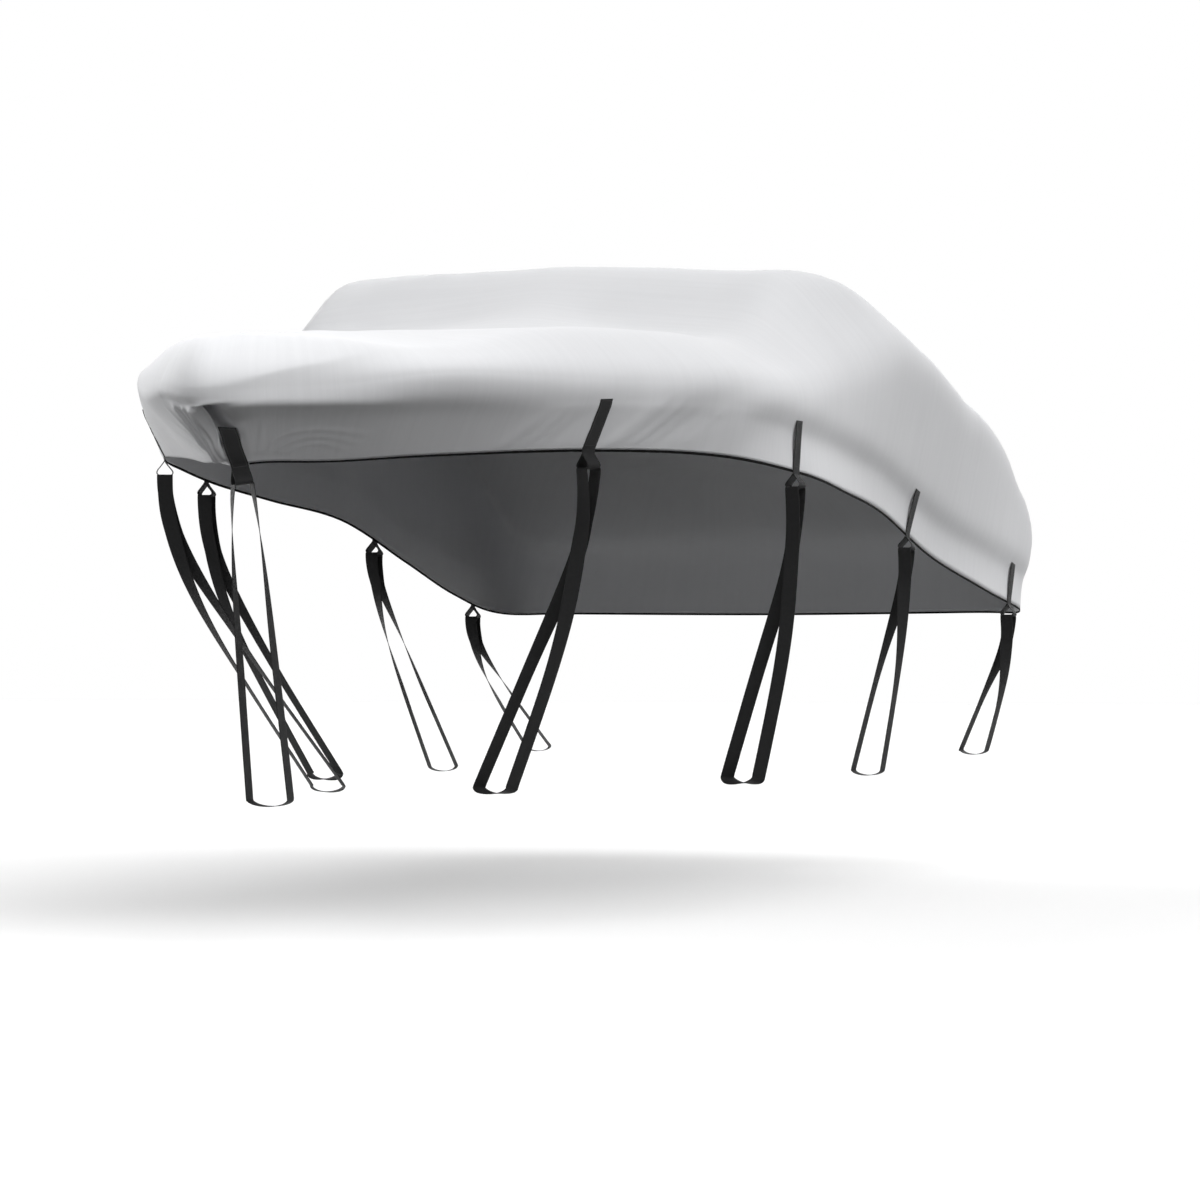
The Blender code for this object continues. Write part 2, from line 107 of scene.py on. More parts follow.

# Folds of the cloth: the side, and the path of ribs and heights on them (0 hem, 1 ridge). Then come the
# half widths below and above the path, the rise, and the shares of its length over which it fades in and
# out. Half widths below 0 make a crisp crest instead of a soft one. With a first share of 0 it starts in
# full, and a path that starts at rib 0 joins its fellow of the other side at the stem.
FOLDS = (
    # The long edge along the bow's shoulder, and over it the edge of the foredeck.
    ("port", ((0.0, 0.33), (0.12, 0.329), (0.68, 0.318), (1.5, 0.322), (1.93, 0.325), (2.53, 0.295),
              (3.6, 0.25)), 0.045, 0.045, 0.012, 0, 0.4),
    ("port", ((0.0, 0.325), (0.12, 0.324), (0.68, 0.315), (1.5, 0.32), (1.93, 0.322), (2.53, 0.29)),
     0.016, 0.02, 0.005, 0, 0.5),
    ("starboard", ((0.0, 0.33), (0.12, 0.332), (0.35, 0.34), (0.75, 0.36), (1.2, 0.385), (1.9, 0.37),
                   (2.9, 0.32)), 0.045, 0.045, 0.012, 0, 0.4),
    ("starboard", ((0.0, 0.325), (0.12, 0.327), (0.35, 0.335), (0.75, 0.355), (1.2, 0.38), (1.9, 0.36)),
     0.016, 0.02, 0.005, 0, 0.5),
    ("port", ((0.0, 0.398), (0.2, 0.395), (0.35, 0.4), (0.6, 0.414), (0.85, 0.43), (1.5, 0.482),
              (1.95, 0.508), (2.65, 0.565), (3.2, 0.59)), -0.04, -0.11, 0.014, 0, 0.5),
    ("starboard", ((0.0, 0.398), (0.2, 0.395), (0.5, 0.4), (1.1, 0.43)), -0.04, -0.11, 0.014, 0, 0.9),
    # The stem's crease, and the deep pocket on its port side under the end of the shoulder.
    ("starboard", ((0.34, 0.322), (0.22, 0.235), (0.12, 0.14), (0.03, 0.03)),
     -0.014, -0.014, 0.014, 0.15, 0.3),
    ("port", ((0.05, 0.306), (0.13, 0.262), (0.19, 0.2), (0.24, 0.1)), 0.028, 0.026, -0.048, 0.15, 0.25),
    ("both", ((0.0, 0.305), (0.0, 0.22), (0.0, 0.1)), 0.022, 0.022, -0.018, 0.1, 0.5),
    ("port", ((0.1, 0.29), (0.3, 0.23), (0.55, 0.17)), 0.04, 0.04, -0.012, 0.15, 0.5),
    ("starboard", ((0.16, 0.312), (0.35, 0.318), (0.75, 0.338), (1.15, 0.36)),
     0.012, 0.016, -0.012, 0.15, 0.6),
    # Soft arcs low on the port bow.
    ("port", ((1.0, 0.05), (1.2, 0.14), (1.75, 0.18), (2.35, 0.12)), 0.008, 0.01, 0.0016, 0.3, 0.3),
    ("port", ((1.15, 0.04), (1.35, 0.11), (1.8, 0.14), (2.25, 0.08)), 0.007, 0.009, 0.0014, 0.3, 0.3),
    ("port", ((1.35, 0.03), (1.5, 0.08), (1.85, 0.1), (2.15, 0.04)), 0.006, 0.008, 0.0012, 0.3, 0.3),
    # Broad slack between the tabs.
    ("port", ((3.75, 0.05), (4.6, 0.4)), 0.075, 0.075, -0.005, 0.4, 0.4),
    ("port", ((4.35, 0.04), (5.5, 0.36)), 0.08, 0.08, -0.007, 0.4, 0.4),
    ("port", ((5.0, 0.08), (6.1, 0.45)), 0.08, 0.08, 0.006, 0.4, 0.4),
    ("port", ((6.3, 0.05), (6.9, 0.5)), 0.09, 0.09, -0.007, 0.4, 0.4),
    ("port", ((7.3, 0.08), (7.7, 0.62)), 0.085, 0.085, 0.006, 0.4, 0.4),
    ("port", ((8.2, 0.05), (8.3, 0.55)), 0.09, 0.09, -0.007, 0.4, 0.4),
    ("port", ((9.4, 0.08), (9.1, 0.55)), 0.09, 0.09, -0.007, 0.4, 0.4),
    ("starboard", ((4.1, 0.05), (4.9, 0.4)), 0.08, 0.08, -0.01, 0.4, 0.4),
    ("starboard", ((5.6, 0.05), (6.3, 0.42)), 0.085, 0.085, -0.009, 0.4, 0.4),
    ("starboard", ((7.0, 0.06), (7.4, 0.55)), 0.09, 0.09, 0.008, 0.4, 0.4),
    ("starboard", ((8.0, 0.05), (8.4, 0.58)), 0.09, 0.09, -0.011, 0.4, 0.4),
    ("starboard", ((9.7, 0.06), (9.3, 0.5)), 0.085, 0.085, -0.008, 0.4, 0.4),
    ("both", ((10.2, 0.1), (10.6, 0.6)), 0.08, 0.08, -0.009, 0.4, 0.4),
    ("both", ((5.7, 0.62), (6.3, 0.97)), 0.12, 0.12, -0.012, 0.4, 0.4),
    # The long trough just above the side's hem.
    ("both", ((5.1, 0.145), (5.9, 0.132), (7.4, 0.075), (8.5, 0.058), (9.8, 0.066), (11.3, 0.09)),
     0.13, 0.062, -0.023, 0.3, 0.2),
    ("port", ((5.9, 0.13), (6.6, 0.105), (7.6, 0.075)), 0.07, 0.06, -0.005, 0.4, 0.4),
    ("port", ((6.6, 0.7), (7.6, 0.7)), 0.2, 0.2, -0.009, 0.3, 0.3),
    ("starboard", ((6.6, 0.72), (7.6, 0.72)), 0.22, 0.22, 0.01, 0.3, 0.3),
    # Folds on the hump's face, from its starboard foot up to its top.
    ("starboard", ((6.32, 0.56), (6.5, 0.65), (6.74, 0.83)), -0.02, -0.05, 0.014, 0.2, 0.4),
    ("starboard", ((6.42, 0.57), (6.62, 0.68), (6.86, 0.86)), -0.015, -0.03, 0.01, 0.2, 0.4),
    ("starboard", ((6.22, 0.6), (6.36, 0.68), (6.55, 0.84)), 0.015, 0.03, -0.009, 0.2, 0.4),
)

# Rows of fine wrinkles: the side, the ribs and heights at the ends of the first and of the last one, how
# many there are, their half widths and rises at the first and the last, and how unevenly they lie.
WRINKLES = (
    # Pleats beside the stem, gathered at the bow tab.
    ("starboard", ((0.06, 0.02), (0.42, 0.335)), ((0.5, 0.01), (1.3, 0.35)), 6,
     (-0.0045, -0.007), (0.014, 0.0115), 0.3),
    ("starboard", ((0.3, 0.01), (1.3, 0.26)), ((1.2, 0.01), (3.2, 0.13)), 7,
     (-0.005, -0.009), (0.0065, 0.0045), 0.3),
    ("port", ((0.6, 0.04), (0.55, 0.26)), ((1.3, 0.03), (1.9, 0.22)), 4,
     (0.012, 0.016), (0.0012, 0.001), 0.3),
    # Fine pulls on the hump's face.
    ("starboard", ((6.1, 0.57), (6.45, 0.82)), ((6.62, 0.58), (7.0, 0.9)), 7,
     (-0.01, -0.016), (0.0105, 0.0085), 0.4),
    # Wrinkles that fan out from the first side tabs.
    ("port", ((3.38, 0.01), (3.6, 0.2)), ((3.95, 0.01), (4.2, 0.28)), 8,
     (0.01, 0.012), (0.0016, 0.0022), 0.6),
    ("port", ((4.1, 0.01), (4.42, 0.27)), ((4.75, 0.02), (5.2, 0.26)), 8,
     (0.011, 0.014), (0.0026, 0.0015), 0.6),
    ("starboard", ((3.45, 0.01), (3.65, 0.2)), ((4.7, 0.01), (5.15, 0.26)), 13,
     (0.011, 0.013), (0.0024, 0.0026), 0.3),
    # Short pulls at the other tabs.
    ("both", ((5.72, 0.01), (5.62, 0.22)), ((6.1, 0.01), (6.3, 0.24)), 6,
     (0.01, 0.012), (0.0014, 0.0014), 0.4),
    ("both", ((8.32, 0.01), (8.22, 0.24)), ((8.7, 0.01), (8.84, 0.24)), 6,
     (0.01, 0.012), (0.0013, 0.0014), 0.4),
    ("both", ((10.26, 0.01), (10.16, 0.24)), ((10.66, 0.01), (10.8, 0.24)), 6,
     (0.01, 0.012), (0.0013, 0.0013), 0.4),
)

# How the wrinkles of a row differ: how fast each property swings from one to the next, and from where.
SWINGS = {
    "place": (5.3, 1.1), "length": (3.7, 0.4), "bend": (2.9, 0.0),
    "width": (4.1, 0.0), "rise": (2.3, 0.7),
}
# By how much: a share of the length, a bend in ribs, and shares of the half width and the rise.
WRINKLE_SHORTER, WRINKLE_BEND, WRINKLE_WIDTH, WRINKLE_RISE = 0.18, 0.02, 0.3, 0.4
WRINKLE_ABOVE = 1.5  # how much wider a wrinkle is above its line than below it
WRINKLE_FADES = 0.25, 0.6

# A fold reaches this many half widths, a crisp crest this many. A crest's tip is this round, and a fold
# keeps this share of its fade at its very ends.
FOLD_REACH, CREST_REACH, CREST_ROUND, FADE_FLOOR = 3, 6, 0.15, 0.15
SPINE_POINTS = 33

# The cloth's grid: from each rib, or each height on the ribs, so many steps to the next or to the end.
RIB_STEPS = ((0.0, 84), (1.2, 42), (3.3, 64), (5.4, 71))
HEIGHT_STEPS = ((0.0, 26), (0.27, 42), (0.52, 25))

# The folds of one side alone fade in from the stem, over so many ribs under the shoulder and over it.
# All folds fade out before the middle of the stern, in ribs, and before the ridge, in heights.
STEM_HEIGHTS, STEM_FADES = (0.33, 0.40), (0.03, 0.45)
STERN_FADE, RIDGE_FADE = 0.5, 0.06

# The rounding of the nose: how many of the grid's ribs it takes in on each side, how often it smooths
# them, its rim in ribs, and the heights, with their margins, between which it works.
NOSE_RIBS, NOSE_PASSES, NOSE_RIM = 80, 500, 3
NOSE_LOW, NOSE_LOW_MARGIN, NOSE_HIGH, NOSE_HIGH_MARGIN = 0.30, 0.05, 0.98, 0.1

# The stem's crease is sharp in front of this place and below this height.
SHARP_AHEAD, SHARP_BELOW = 3.1, -0.70

# The black strip of painted shadow under the hem runs from the bow tab round the stern to this rib of
# the starboard side. It has so many sides, and a lower power makes its outline squarer.
SHADOW_STRIP_END, SHADOW_STRIP_SIDES, SHADOW_STRIP_SQUARE = 4.33, 10, 0.6

CLOTH_ROUGHNESS, WEBBING_ROUGHNESS = 0.82, 0.68
STREAKS_PER_METRE = (34, 1.3, 1)  # along the boat and up the cloth
# The webbing's ribs, rows of weave and stitches, from one to the next. Then the seam's distance from the
# tab's edges and from its hem end, half its thread, and the thread's soft rim.
CROSS_RIB, WEAVE_ROW, STITCH = 0.0022, 0.0036, 0.0038
SEAM_IN, SEAM_END, THREAD_HALF, THREAD_RIM = 0.006, 0.012, 0.0006, 0.0014

CAMERA_PLACE = (14.061, 4.890, -1.4502)
CAMERA_TURN, CAMERA_RISE = 0.3284, 0.01455  # from -X towards -Y, and upwards, in radians
CAMERA_LENS, CAMERA_SENSOR = 120.0, 36.0

# The wide soft lights: where each stands, in degrees from +X towards +Y and above the horizon, and how
# bright a white card facing it would be. The ones under the horizon are what a pale floor throws back.
LIGHTS = (
    ("astern_under", 180, -20, 0.25),
    ("astern_low", 180, 5, 0.30),
    ("astern_high", 180, 30, 0.26),
    ("starboard_quarter_under", -120, -20, 0.26),
    ("starboard_quarter_low", -120, 5, 0.42),
    ("starboard_quarter_high", -120, 30, 0.39),
    ("port_bow", 60, 30, 0.48),
    ("port_bow_high", 60, 60, 0.25),
    ("bow_high", 30, 60, 0.16),
    ("port_beam", 90, 30, 0.10),
    ("port_quarter_high", 120, 45, 0.13),
    ("ahead_under", 0, -20, 0.11),
)

# Two softboxes near the bow: place, where it points, side and power.
BOXES = (
    ("bow_box_near", (4.8, -0.6, 1.2), (3.2, 0.0, -0.5), 1.5, 28.0),
    ("bow_box_far", (6.5, -1.0, 0.6), (3.2, 0.0, -0.6), 2.5, 20.0),
)
FLOOR_HALF = 60.0


class CoverCloth(bpy.types.PropertyGroup):
    """The cloth's sizes and colour."""

    thickness: FloatProperty(
        name="Thickness", description="Wall of the cloth", default=0.002, min=0.0005, max=0.003,
        subtype="DISTANCE")
    folds: FloatProperty(
        name="Folds", description="How deep the folds are, 1 as in the photograph", default=1.0,
        min=0.0, max=1.5, subtype="FACTOR")
    colour: FloatVectorProperty(
        name="Colour", description="Colour of the polyester", default=(0.66, 0.665, 0.68), size=3,
        min=0, max=1, subtype="COLOR")
    weave: FloatProperty(
        name="Weave", description="Distance between two threads", default=0.0030, min=0.0005, max=0.01,
        subtype="DISTANCE")


class CoverWebbing(bpy.types.PropertyGroup):
    """The webbing's sizes and colour, and the colour of the painted shadow strip under the hem."""

    thickness: FloatProperty(
        name="Thickness", description="Thickness of the webbing", default=0.002, min=0.001, max=0.0025,
        subtype="DISTANCE")
    colour: FloatVectorProperty(
        name="Colour", description="Colour of the webbing", default=(0.008, 0.008, 0.0085), size=3,
        min=0, max=1, subtype="COLOR")
    # A near-black colour for the strip of painted shadow under the hem: it stands for shade, not for a
    # tape of the cover.
    shadow_strip_colour: FloatVectorProperty(
        name="Edging colour", description="Colour of the hem's edging", default=(0.003, 0.003, 0.003),
        size=3, min=0, max=1, subtype="COLOR")


class CoverStage(bpy.types.PropertyGroup):
    """The floor, the light and the camera."""

    strength: FloatProperty(
        name="Strength", description="Strength of all the lights together", default=1.0, min=0, max=4,
        subtype="FACTOR")
    spread: FloatProperty(
        name="Spread", description="How wide each light looks from the cover",
        default=math.radians(50), min=0, max=math.pi, subtype="ANGLE")
    ambient: FloatProperty(
        name="Ambient", description="Brightness of the sky above the horizon", default=0.02,
        min=0, max=2)
    floor_colour: FloatVectorProperty(
        name="Floor colour", description="Colour of the floor", default=(0.90, 0.90, 0.90), size=3,
        min=0, max=1, subtype="COLOR")


class Wire:
    """A socket in a material's nodes. Arithmetic on it adds the Math nodes that do it."""

    def __init__(self, tree, socket=None):
        self.tree, self.socket = tree, socket

    def node(self, kind, settings, sockets, out=0):
        """Adds a node: its settings, then its sockets' values or links. Returns one of its outputs."""
        made = self.tree.nodes.new(kind)
        for name, value in settings.items():
            setattr(made, name, value)
        for name, value in sockets.items():
            if isinstance(value, Wire):
                self.tree.links.new(value.socket, made.inputs[name])
            else:
                made.inputs[name].default_value = value
        return Wire(self.tree, made.outputs[out])

    def math(self, operation, *values):
        return self.node("ShaderNodeMath", {"operation": operation}, dict(enumerate((self, *values))))

    def __add__(self, other):
        return self.math("ADD", other)

    def __mul__(self, other):
        return self.math("MULTIPLY", other)

    def __sub__(self, other):
        return self.math("SUBTRACT", other)

    def __rsub__(self, other):
        return self.node("ShaderNodeMath", {"operation": "SUBTRACT"}, {0: other, 1: self})

    def step(self, low, high, start=0.0, end=1.0):
        """A smooth step of this value between low and high."""
        return self.node(
            "ShaderNodeMapRange", {"interpolation_type": "SMOOTHSTEP"},
            {"Value": self, "From Min": low, "From Max": high, "To Min": start, "To Max": end})

    def uv(self, name):
        """A UV map in metres: the map, and its first and second number."""
        place = self.node("ShaderNodeUVMap", {"uv_map": name}, {})
        split = self.node("ShaderNodeSeparateXYZ", {}, {0: place})
        return place, split, Wire(self.tree, split.socket.node.outputs["Y"])


def finish_with(name, colour, roughness, build=None, **fixed):
    """A material with a Principled shader. build takes its first wire and returns links for sockets."""
    made = bpy.data.materials.new(name)
    made.use_nodes = True
    tree = made.node_tree
    shader = tree.nodes["Principled BSDF"]
    shader.inputs["Base Color"].default_value = (*colour, 1)
    shader.inputs["Roughness"].default_value = roughness
    for socket, value in fixed.items():
        shader.inputs[socket.replace("_", " ").title().replace("Ior", "IOR")].default_value = value
    for socket, wire in (build(Wire(tree)) if build else {}).items():
        tree.links.new(wire.socket, shader.inputs[socket])
    made.diffuse_color = (*colour, 1)
    return made


def shade(start, colour, amount):
    """A colour made lighter and darker by a wire about 0."""
    grey = start.node("ShaderNodeCombineColor", {}, {"Red": amount, "Green": amount, "Blue": amount})
    return start.node(
        "ShaderNodeMix", {"data_type": "RGBA", "blend_type": "ADD"},
        {0: 1.0, 6: (*colour, 1), 7: grey}, out=2)


def cloth_finish(settings):
    """Woven polyester: its threads, streaks along them and a faint mottle."""
    def build(start):
        place, along, up = start.uv("cloth")
        turn = 2 * math.pi / settings.weave
        weave = (along * turn).math("SINE") * (up * turn).math("SINE")
        stretched = start.node(
            "ShaderNodeVectorMath", {"operation": "MULTIPLY"}, {0: place, 1: STREAKS_PER_METRE})
        streaks = start.node(
            "ShaderNodeTexNoise", {"noise_dimensions": "2D"},
            {"Vector": stretched, "Scale": 1.0, "Detail": 4.0, "Roughness": 0.6})
        mottle = start.node(
            "ShaderNodeTexNoise", {}, {
                "Vector": start.node("ShaderNodeTexCoord", {}, {}, out="Object"),
                "Scale": 3.0, "Detail": 3.0, "Roughness": 0.55})
        amount = (streaks - 0.5) * 0.045 + (mottle - 0.5) * 0.03 + weave * 0.012
        height = weave * 0.00008 + (streaks - 0.5) * 0.0009
        return {
            "Base Color": shade(start, settings.colour, amount),
            "Roughness": (mottle - 0.5) * 0.12 + CLOTH_ROUGHNESS,
            "Normal": start.node(
                "ShaderNodeBump", {}, {"Strength": 0.6, "Distance": 1.0, "Height": height}),
        }

    return finish_with("cover_cloth", settings.colour, CLOTH_ROUGHNESS, build, specular_ior_level=0.3,
                       sheen_weight=0.12, sheen_roughness=0.6)


def tab_thread(along, across):
    """The sewn box of a tab, 1 on a stitch and 0 beside it: two seams along it and one at each end."""
    half, from_middle = TAB_WIDTH / 2, across.math("ABSOLUTE")
    seam = (THREAD_HALF, THREAD_RIM, 1.0, 0.0)
    runs = (from_middle - (half - SEAM_IN)).math("ABSOLUTE").step(*seam)
    near_end = (along - (TAB_LENGTH - SEAM_END)).math("ABSOLUTE")
    ends = (along - SEAM_IN).math("ABSOLUTE").math("MINIMUM", near_end).step(*seam)
    low, high = SEAM_IN - 0.002, TAB_LENGTH - SEAM_END + 0.0015
    inside = along.step(low, low + 0.001) * along.step(high, high + 0.001, 1.0, 0.0)
    within = from_middle.step(half - SEAM_IN, half - SEAM_IN + 0.001, 1.0, 0.0)
    dashes = ((along + across) * (2 * math.pi / STITCH)).math("SINE").step(-0.75, -0.45)
    return (runs * inside).math("MAXIMUM", ends * within) * dashes


def webbing_finish(name, colour, stitched=False, specular=0.2):
    """Black webbing with cross ribs and rows of weave. A stitched one has the sewn box of a tab."""
    def build(start):
        place, along, across = start.uv("webbing")
        ribs = (along * (2 * math.pi / CROSS_RIB)).math("SINE")
        rows = (across * (2 * math.pi / WEAVE_ROW)).math("SINE").math("ABSOLUTE")
        wear = start.node(
            "ShaderNodeTexNoise", {"noise_dimensions": "2D"},
            {"Vector": place, "Scale": 60.0, "Detail": 3.0})
        height = ribs * 0.00016 + rows * 0.00022
        amount = (wear - 0.5) * 0.012 + ribs * 0.004 + rows * 0.006
        if stitched:
            thread = tab_thread(along, across)
            height = height * (1 - thread) + thread * 0.0006
            amount = amount + thread * 0.035
        return {
            "Base Color": shade(start, colour, amount),
            "Roughness": (wear - 0.5) * 0.2 + WEBBING_ROUGHNESS,
            "Normal": start.node(
                "ShaderNodeBump", {}, {"Strength": 0.8, "Distance": 1.0, "Height": height}),
        }

    return finish_with(name, colour, WEBBING_ROUGHNESS, build, specular_ior_level=specular)


def unit(vectors):
    """The same vectors, 1 long."""
    return vectors / np.maximum(np.linalg.norm(vectors, axis=-1, keepdims=True), 1e-12)


def way_to(turn, rise):
    """A direction, turned from +X towards +Y and raised above the horizon, in radians."""
    level = math.cos(rise)
    return Vector((math.cos(turn) * level, math.sin(turn) * level, math.sin(rise)))


def smoothed(value):
    """0 below 0, 1 above 1, and a smooth step between."""
    value = np.clip(value, 0, 1)
    return value * value * (3 - 2 * value)


def run_along(points):
    """How far each point of a line is from its start, along the line."""
    return np.concatenate([[0], np.cumsum(np.linalg.norm(np.diff(points, axis=0), axis=1))])


def spaced(steps, end):
    """Numbers from the first start to the end, with so many even steps from each start to the next."""
    stops = [start for start, _ in steps[1:]] + [end]
    runs = [
        np.linspace(start, stop, count, endpoint=False) for (start, count), stop in zip(steps, stops)]
    return np.concatenate([*runs, [end]])


def cut_corners(points, closed, times):
    """Rounds a line by cutting its corners, each time at a quarter of every step."""
    points = np.asarray(points, float)
    for _ in range(times):
        following = np.roll(points, -1, axis=0) if closed else points[1:]
        here = points if closed else points[:-1]
        cut = np.stack([0.75 * here + 0.25 * following, 0.25 * here + 0.75 * following], axis=1)
        cut = cut.reshape(-1, points.shape[1])
        points = cut if closed else np.vstack([points[:1], cut, points[-1:]])
    return points


def line_at(rib):
    """The row of COLUMNS at a rib number, whole or not, on a smooth curve through the ribs."""
    rows = np.array(RIBS)
    mirror = np.where(ACROSS, -1.0, 1.0)
    before = np.where(CREASED, 2 * rows[0] - rows[1], rows[1] * mirror)
    rows = np.vstack([before, rows, rows[-2] * mirror])
    i = min(int(rib), len(RIBS) - 2)
    s = rib - i
    a, b, c, d = rows[i : i + 4]
    return 0.5 * (
        2 * b + (c - a) * s + (2 * a - 5 * b + 4 * c - d) * s**2 + (3 * b - a - 3 * c + d) * s**3)


def rib_points(rib, heights):
    """Points of the smooth cloth at these heights (0 hem, 1 ridge) of a rib, on the port side."""
    row = dict(zip(COLUMNS, line_at(rib)))
    hem, shoulder, top = (
        np.array([row[part + "_aft"], row[part + "_out"], row[part + "_up"]])
        for part in ("hem", "shoulder", "top")
    )
    ridge = np.array([row["ridge_aft"], 0.0, row["ridge_up"]])
    across = np.array([1, -1, 1])
    corners = np.array([2 * hem - shoulder, hem, shoulder, top, ridge, top * across, shoulder * across])
    run = run_along(corners)
    middle = (run[2] + run[3]) / 2
    heights = np.asarray(heights, float)
    along = np.where(
        heights < 0.5, run[1] + 2 * heights * (middle - run[1]),
        middle + (2 * heights - 1) * (run[4] - middle))
    reach = np.minimum(np.interp(along, run[2:4], [SHOULDER_ROUND, TOP_ROUND]), along - run[1])
    offsets = np.linspace(-1, 1, 33)
    weights = (1 - offsets**2) ** 1.5
    points = np.zeros((len(heights), 3))
    for offset, weight in zip(offsets, weights / weights.sum()):
        for axis in range(3):
            points[:, axis] += weight * np.interp(along + offset * reach, run, corners[:, axis])
    return np.stack([ORIGIN_AFT - points[:, 0], points[:, 1], points[:, 2] - ORIGIN_UP], axis=1)


class Side:
    """One side of the cloth: a grid of points, ribs by heights, with its folds."""

    def __init__(self, side, ribs, heights, folds):
        self.ribs, self.heights = ribs, heights
        self.smooth = np.array([rib_points(rib, heights) for rib in ribs])
        out = np.cross(np.gradient(self.smooth, axis=0), np.gradient(self.smooth, axis=1))
        out[:, :, 1] = np.where(self.smooth[:, :, 1] < 1e-6, 0, out[:, :, 1])
        self.out = unit(out)
        steps = np.linalg.norm(np.diff(self.smooth, axis=1), axis=2)
        self.down = np.concatenate(
            [np.cumsum(steps[:, ::-1], axis=1)[:, ::-1], np.zeros((len(ribs), 1))], axis=1)
        self.along = run_along(self.smooth[:, len(heights) // 2])
        own, shared = np.zeros(self.smooth.shape[:2]), np.zeros(self.smooth.shape[:2])
        for where, path, *shape in FOLDS:
            if where == "both" or where == side and path[0][0] == 0:
                shared += self.fold(path, *shape)
            elif where == side:
                own += self.fold(path, *shape)
        for where, *row in WRINKLES:
            if where in ("both", side):
                own += self.wrinkles(*row)
        stem = smoothed(ribs[:, None] / np.interp(heights, STEM_HEIGHTS, STEM_FADES))
        stern = smoothed((ribs[-1] - ribs) / STERN_FADE)[:, None]
        ridge = smoothed((1 - heights) / RIDGE_FADE)
        own *= stem * stern * ridge
        shared *= stern * ridge
        self.grid = self.smooth + self.out * (folds * (own + shared))[..., None]
        if side == "starboard":
            self.grid = self.grid * (1, -1, 1)

    def wrinkles(self, first, last, count, half_widths, rises, uneven):
        """How far a row of fine wrinkles lifts the cloth."""
        first, last = np.array(first), np.array(last)
        lift = np.zeros(self.smooth.shape[:2])
        for k in range(count):
            swing = {name: math.sin(rate * k + start) for name, (rate, start) in SWINGS.items()}
            s = (k + uneven * swing["place"]) / (count - 1)
            ends = first + (last - first) * s
            ends[1] += (ends[0] - ends[1]) * WRINKLE_SHORTER * (0.5 + 0.5 * swing["length"])
            bend = (ends[0] + ends[1]) / 2 + (WRINKLE_BEND * swing["bend"], 0.0)
            half = np.interp(s, [0, 1], half_widths) * (1 + WRINKLE_WIDTH * swing["width"])
            rise = np.interp(s, [0, 1], rises) * (1 + WRINKLE_RISE * swing["rise"])
            lift += self.fold((ends[0], bend, ends[1]), half, half * WRINKLE_ABOVE, rise, *WRINKLE_FADES)
        return lift

    def fold(self, path, below, above, rise, fade_a, fade_b):
        """How far one fold lifts the cloth."""
        path = cut_corners(path, False, 2 if len(path) > 2 else 0)
        t = np.linspace(0, 1, SPINE_POINTS)
        along = np.linspace(0, 1, len(path))
        ribs, heights = (np.interp(t, along, path[:, n]) for n in (0, 1))
        spine = np.array([rib_points(rib, [height])[0] for rib, height in zip(ribs, heights)])
        crisp = below < 0
        reach = -CREST_REACH * min(below, above) if crisp else FOLD_REACH * max(below, above)
        near = ((self.smooth > spine.min(0) - reach) & (self.smooth < spine.max(0) + reach)).all(-1)
        points = self.smooth[near]
        starts, spans = spine[:-1], np.diff(spine, axis=0)
        at = np.clip(np.einsum("pij,ij->pi", points[:, None] - starts, spans) / (spans**2).sum(1), 0, 1)
        away = points[:, None] - starts - at[..., None] * spans
        distance = np.linalg.norm(away, axis=2)
        pick, rows = distance.argmin(1), np.arange(len(points))
        along, distance = (pick + at[rows, pick]) / len(spans), distance[rows, pick]
        across = np.cross(self.out[near], spans[pick])
        over = (away[rows, pick] * across).sum(1) * (1 if across[:, 2].sum() > 0 else -1)
        share = distance / np.where(over > 0, above, below)
        if crisp:
            profile = np.exp(CREST_ROUND - np.sqrt(share**2 + CREST_ROUND**2))
        else:
            profile = np.exp(-(share**2))
        ends = smoothed((1 - along) / fade_b + FADE_FLOOR)
        if fade_a > 0:
            ends *= smoothed(along / fade_a + FADE_FLOOR)
        lift = np.zeros(self.smooth.shape[:2])
        lift[near] = rise * profile * ends
        return lift

    def at(self, rib, height):
        """The cloth's point at a rib and a height, between the grid's own."""
        i = min(np.searchsorted(self.ribs, rib, side="right") - 1, len(self.ribs) - 2)
        j = min(np.searchsorted(self.heights, height, side="right") - 1, len(self.heights) - 2)
        s = (rib - self.ribs[i]) / (self.ribs[i + 1] - self.ribs[i])
        t = (height - self.heights[j]) / (self.heights[j + 1] - self.heights[j])
        a, b, c, d = (self.grid[i + m][j + n] for m, n in ((0, 0), (1, 0), (0, 1), (1, 1)))
        return (1 - t) * ((1 - s) * a + s * b) + t * ((1 - s) * c + s * d)


@functools.lru_cache(maxsize=1)
def cloth_sides(folds):
    """Both sides of the cloth, port and starboard, with closer ribs at the bow."""
    ribs, heights = spaced(RIB_STEPS, len(RIBS) - 1), spaced(HEIGHT_STEPS, 1)
    port, starboard = (Side(side, ribs, heights, folds) for side in ("port", "starboard"))
    # The folds that begin at the stem differ a little there, and both sides meet halfway.
    stem = (port.grid[0] + starboard.grid[0]) / 2 * (1, 0, 1)
    port.grid[0], starboard.grid[0] = stem, stem
    round_nose(port, starboard)
    return port, starboard


